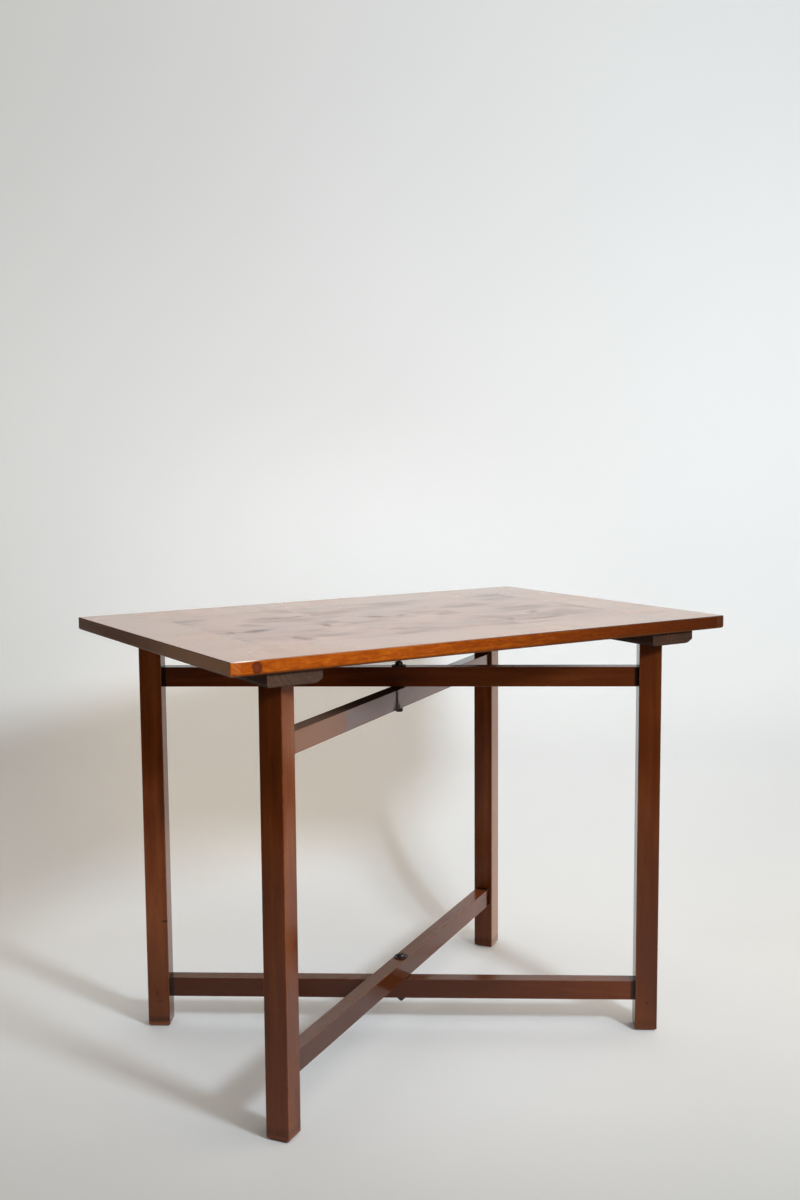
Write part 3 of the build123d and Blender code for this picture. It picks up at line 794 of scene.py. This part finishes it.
def burr_veneer(name, flip, seed):
    """A leaf of dark burr: soft swirls, with the long dark patches that the photograph shows."""
    graph = new_material(f"{name}_veneer")
    plain = graph.object_point()
    x, y, _ = graph.split(plain)
    spread_x, spread_y = LEAF_SPREAD
    point = graph.place(plain, (flip, 1, 1), (seed * spread_x, seed * spread_y, 0))
    leaf_x, leaf_y, _ = graph.split(point)
    swirl = graph.add(graph.noise(point, SWIRL_SCALE), -0.5)
    bend_x, bend_y = SWIRL_BENDS
    bent_x = graph.add(leaf_x, graph.times(swirl, bend_x))
    bent = graph.join(bent_x, graph.add(leaf_y, graph.times(swirl, bend_y)), 0.0)
    figure = graph.noise(bent, FIGURE_SCALE, 3, 0.55, 0.4)
    fine = graph.noise(bent, FINE_SCALE, 3, 0.6)
    cloud = graph.step(graph.noise(bent, CLOUD_SCALE, 3, 0.55), *CLOUD_LIMITS)
    split = graph.step(graph.noise(bent, SPLIT_SCALE, 2), *SPLIT_LIMITS)
    tone = graph.add(graph.times(figure, 1 - FINE_SHARE), graph.times(fine, FINE_SHARE))
    colour = graph.ramp(tone, *BURR_RAMP)
    wavering_x = graph.add(x, graph.times(swirl, PATCH_WAVERS))
    wavering = graph.join(wavering_x, graph.add(y, graph.swing(figure, PATCH_WAVERS)), 0.0)
    patches = dark_patches(graph, name, wavering, cloud)
    colour = graph.mix(graph.times(patches, BURR_DARK_SHARE), colour, BURR_DARK)
    split = graph.times(split, graph.add(graph.times(cloud, SPLIT_CLOUD_SHARE), SPLIT_SHARE))
    colour = graph.mix(split, colour, SPLIT_DARK)
    to_joint = graph.size(graph.add(graph.size(x), -LEAF_JOINT))
    edge_x, edge_y = FIELD_EDGE
    to_rim = graph.least(graph.minus(edge_x, graph.size(x)), graph.minus(edge_y, graph.size(y)))
    joint = graph.most(graph.step(to_joint, *LEAF_LINE), graph.step(to_rim, *FIELD_LINE))
    colour = graph.mix(joint, colour, JOINT_DARK)
    sunk = graph.add(graph.times(patches, PATCH_SUNK), graph.swing(figure, FIGURE_SUNK))
    coat = graph.most(graph.minus(FIELD_COAT, sunk), 0.0)
    rough = graph.add(graph.times(figure, FIGURE_DULLS), BURR_ROUGHNESS)
    rough = graph.add(graph.times(patches, PATCH_DULLS), rough)
    height = graph.add(graph.times(figure, FIGURE_RISES), graph.times(patches, PATCH_RISES))
    normal = graph.bump(height, BURR_RELIEF)
    return graph.surface(colour, rough, normal, Coat_Weight=coat, Coat_Roughness=COAT_ROUGHNESS)


def old_steel(name, colours, rust):
    """Dark aged steel: blotchy, with bright rubbed places and rust in the hollows."""
    graph = new_material(name)
    point = graph.object_point()
    blotch = graph.noise(point, BLOTCH_SCALE, 4, 0.6)
    grit = graph.noise(point, GRIT_SCALE, 3, 0.6)
    rusty = graph.step(graph.noise(point, RUST_SCALE, 3, 0.6), *RUST_LIMITS)
    colour = graph.ramp(blotch, *zip(STEEL_TONES, colours))
    colour = graph.mix(graph.times(rusty, rust), colour, RUST)
    rough = graph.step(blotch, *STEEL_ROUGHNESS)
    normal = graph.bump(graph.add(grit, blotch), STEEL_RELIEF)
    return graph.surface(colour, rough, normal, Metallic=STEEL_METALLIC)


def stage_paper(name, one_sided):
    """Matt white paper, with painted shade: greyer towards the front and high up.

    The sweep is one-sided: a view from behind looks through it.
    """
    graph = new_material(name)
    point = graph.place(graph.object_point(), turn=CAMERA_YAW)
    side, out, up = graph.split(point)
    tone = graph.add(graph.step(out, *PAPER_FRONT_TO_BACK), graph.step(out, *PAPER_PAST_FRONT))
    tone = graph.times(tone, graph.step(up, *PAPER_LOW_TO_HIGH))
    tone = graph.times(tone, graph.step(up, *PAPER_ON_FLOOR))
    edges = graph.times(graph.step(side, *FLOOR_TO_LEFT), graph.step(side, *FLOOR_TO_RIGHT))
    above = graph.times(graph.minus(1.0, edges), graph.step(up, 0.0, FLOOR_EDGES_END))
    tone = graph.times(tone, graph.add(edges, above))
    if not one_sided:
        on_paper = graph.step(out, SWEEP_FRONT - PAPER_EDGE, SWEEP_FRONT)
        on_paper = graph.times(on_paper, graph.step(side, SWEEP_LEFT - PAPER_EDGE, SWEEP_LEFT))
        on_paper = graph.times(on_paper, graph.step(side, SWEEP_RIGHT + PAPER_EDGE, SWEEP_RIGHT))
        lit = graph.step(on_paper, 0.0, 1.0, ROOM_FLOOR_TONE, 1.0)
        seen = graph.node("ShaderNodeLightPath", {})
        tone = graph.times(tone, graph.most(lit, seen))
    tone = graph.add(tone, graph.swing(graph.noise(point, PAPER_MOTTLE_SCALE), PAPER_MOTTLE))
    colour = graph.mix(tone, BLACK, PAPER_WHITE)
    # Painted light on the paper, lifting the table's shadows
    for centre, half, gain in PAINTED_LIGHT_ON_PAPER:
        painted_light = graph.spot(point, centre, half, core=PAINTED_LIGHT_CORE)
        colour = graph.mix(painted_light, colour, gain, "MULTIPLY")
    shader = graph.node("ShaderNodeBsdfDiffuse", {"Color": colour})
    if one_sided:
        clear = graph.node("ShaderNodeBsdfTransparent", {})
        backfacing = graph.node("ShaderNodeNewGeometry", {}, output=6)
        shader = graph.node("ShaderNodeMixShader", {0: backfacing, 1: shader, 2: clear})
    graph.node("ShaderNodeOutputMaterial", {"Surface": shader})
    return graph.owner


def dress(name, material):
    """Gives a CAD node its finish."""
    for slot in NODES[name].material_slots:
        slot.material = material


def dress_frames():
    """The legs, the rails and the hardware on the pivot axis."""
    for name, finish in LEGS.items():
        dress(name, leg_wood(name, **finish))
    for name, finish in RAILS.items():
        dress(name, rail_wood(name, **finish))
    dress("locating_dowels", plain_timber("dowel_wood", DOWEL_WOOD, 0.0, 18))
    dark_steel = old_steel("pivot_steel", *PIVOT_STEEL)
    black_steel = old_steel("spacer_steel", *SPACER_STEEL)
    for level in ("upper", "lower"):
        for piece in ("pivot_bolt", "nut", "washer"):
            dress(f"{level}_{piece}", dark_steel)
        dress(f"{level}_spacer", black_steel)


def dress_top():
    """The top's core, lippings, veneers and battens."""
    for seed, side in enumerate(("front", "back")):
        lipping, border = f"lipping_{side}", f"border_{side}"
        dress(lipping, lipping_wood(lipping, EDGE_WOOD, True, 11 + seed))
        dress(border, border_veneer(border, True, 1.3 + seed))
    for seed, side in enumerate(("left", "right")):
        lipping, border, batten = f"lipping_{side}", f"border_{side}", f"batten_{side}"
        dress(lipping, lipping_wood(lipping, SHORT_EDGE_WOOD, False, 13 + seed))
        dress(border, border_veneer(border, False, 3.3 + seed))
        wood = LEFT_BATTEN_WOOD if side == "left" else BATTEN_WOOD
        dress(batten, plain_timber(f"{batten}_wood", wood, math.pi / 2, 15 + seed))
    for seed, (side, flip) in enumerate((("left", 1), ("middle", -1), ("right", 1))):
        leaf = f"field_leaf_{side}"
        dress(leaf, burr_veneer(leaf, flip, 2.1 + seed))
    dress("top_core", plain_timber("core_wood", CORE_WOOD, 0.0, 17))
    dress("batten_screws", old_steel("screw_steel", *SCREW_STEEL))


def camera():
    """The photograph's camera."""
    forward = AWAY * math.cos(CAMERA_PITCH) - Vector((0, 0, math.sin(CAMERA_PITCH)))
    down = forward.cross(SIDEWAYS)
    right = SIDEWAYS * math.cos(CAMERA_ROLL) + down * math.sin(CAMERA_ROLL)
    down = down * math.cos(CAMERA_ROLL) - SIDEWAYS * math.sin(CAMERA_ROLL)
    axes = Matrix((right, -down, -forward)).transposed()
    data = bpy.data.cameras.new("camera")
    data.lens = CAMERA_LENS
    data.sensor_width = SENSOR_LONG_SIDE
    made = bpy.data.objects.new("camera", data)
    made.matrix_world = Matrix.Translation(CAMERA_PLACE) @ axes.to_4x4()
    bpy.context.scene.collection.objects.link(made)
    bpy.context.scene.camera = made


def sheet_mesh(name, rows, material):
    """A smooth mesh through rows of points."""
    width = len(rows[0])
    points = [point for row in rows for point in row]
    faces = [
        (r * width + c, r * width + c + 1, (r + 1) * width + c + 1, (r + 1) * width + c)
        for r in range(len(rows) - 1) for c in range(width - 1)
    ]
    mesh = bpy.data.meshes.new(name)
    mesh.from_pydata(points, [], faces)
    mesh.shade_smooth()
    mesh.materials.append(material)
    made = bpy.data.objects.new(name, mesh)
    bpy.context.scene.collection.objects.link(made)
    return made


def sweep_stage():
    """A floor, and a sheet of paper that curves up from it behind the table."""
    half = FLOOR_SIZE / 2
    floor_rows = [[(x, y, 0) for x in (-half, half)] for y in (-half, half)]
    floor = sheet_mesh("floor", floor_rows, stage_paper("floor_paper", False))
    profile = []
    for index in range(SWEEP_STEPS + 1):
        turn = math.pi / 2 * index / SWEEP_STEPS
        out = SWEEP_DISTANCE - SWEEP_RADIUS * (1 - math.sin(turn))
        profile.append((out, SWEEP_RADIUS * (1 - math.cos(turn)) + SWEEP_LIFT))
    profile.append((SWEEP_DISTANCE, SWEEP_HEIGHT))
    rows = [
        [AWAY * out + SIDEWAYS * across + Vector((0, 0, up)) for across in (SWEEP_LEFT, SWEEP_RIGHT)]
        for out, up in profile
    ]
    sweep = sheet_mesh("sweep", rows, stage_paper("sweep_paper", True))


def area_lamp(name, place, target, width, power, colour):
    """A round lamp that faces target, and that the camera doesn't see."""
    data = bpy.data.lights.new(name, "AREA")
    data.shape = "DISK"
    data.size = width
    data.energy = power
    data.color = colour
    made = bpy.data.objects.new(name, data)
    made.location = place
    made.rotation_euler = (Vector(target) - Vector(place)).to_track_quat("-Z", "Y").to_euler()
    made.visible_camera = False
    bpy.context.scene.collection.objects.link(made)


def room():
    """A room that is light on the right, and that the camera sees pale and even past the paper."""
    graph = Graph(bpy.data.worlds.new("room"))
    direction = graph.node("ShaderNodeTexCoord", {})
    facing = graph.node(
        "ShaderNodeVectorMath", {0: direction, 1: ROOM_LIGHT_SIDE}, output=1, operation="DOT_PRODUCT"
    )
    strength = graph.step(facing, *ROOM_STRENGTH)
    seen = graph.node("ShaderNodeLightPath", {})
    strength = graph.step(seen, 0.0, 1.0, strength, ROOM_STRENGTH_TO_CAMERA)
    colour = graph.mix(seen, ROOM_COLOUR, PAPER_WHITE)
    background = graph.node("ShaderNodeBackground", {"Color": colour, "Strength": strength})
    graph.node("ShaderNodeOutputWorld", {"Surface": background})
    bpy.context.scene.world = graph.owner


dress_frames()
dress_top()
camera()
sweep_stage()
for lamp, settings in LAMPS.items():
    area_lamp(lamp, *settings)
room()
bpy.context.scene.view_settings.view_transform = "Standard"
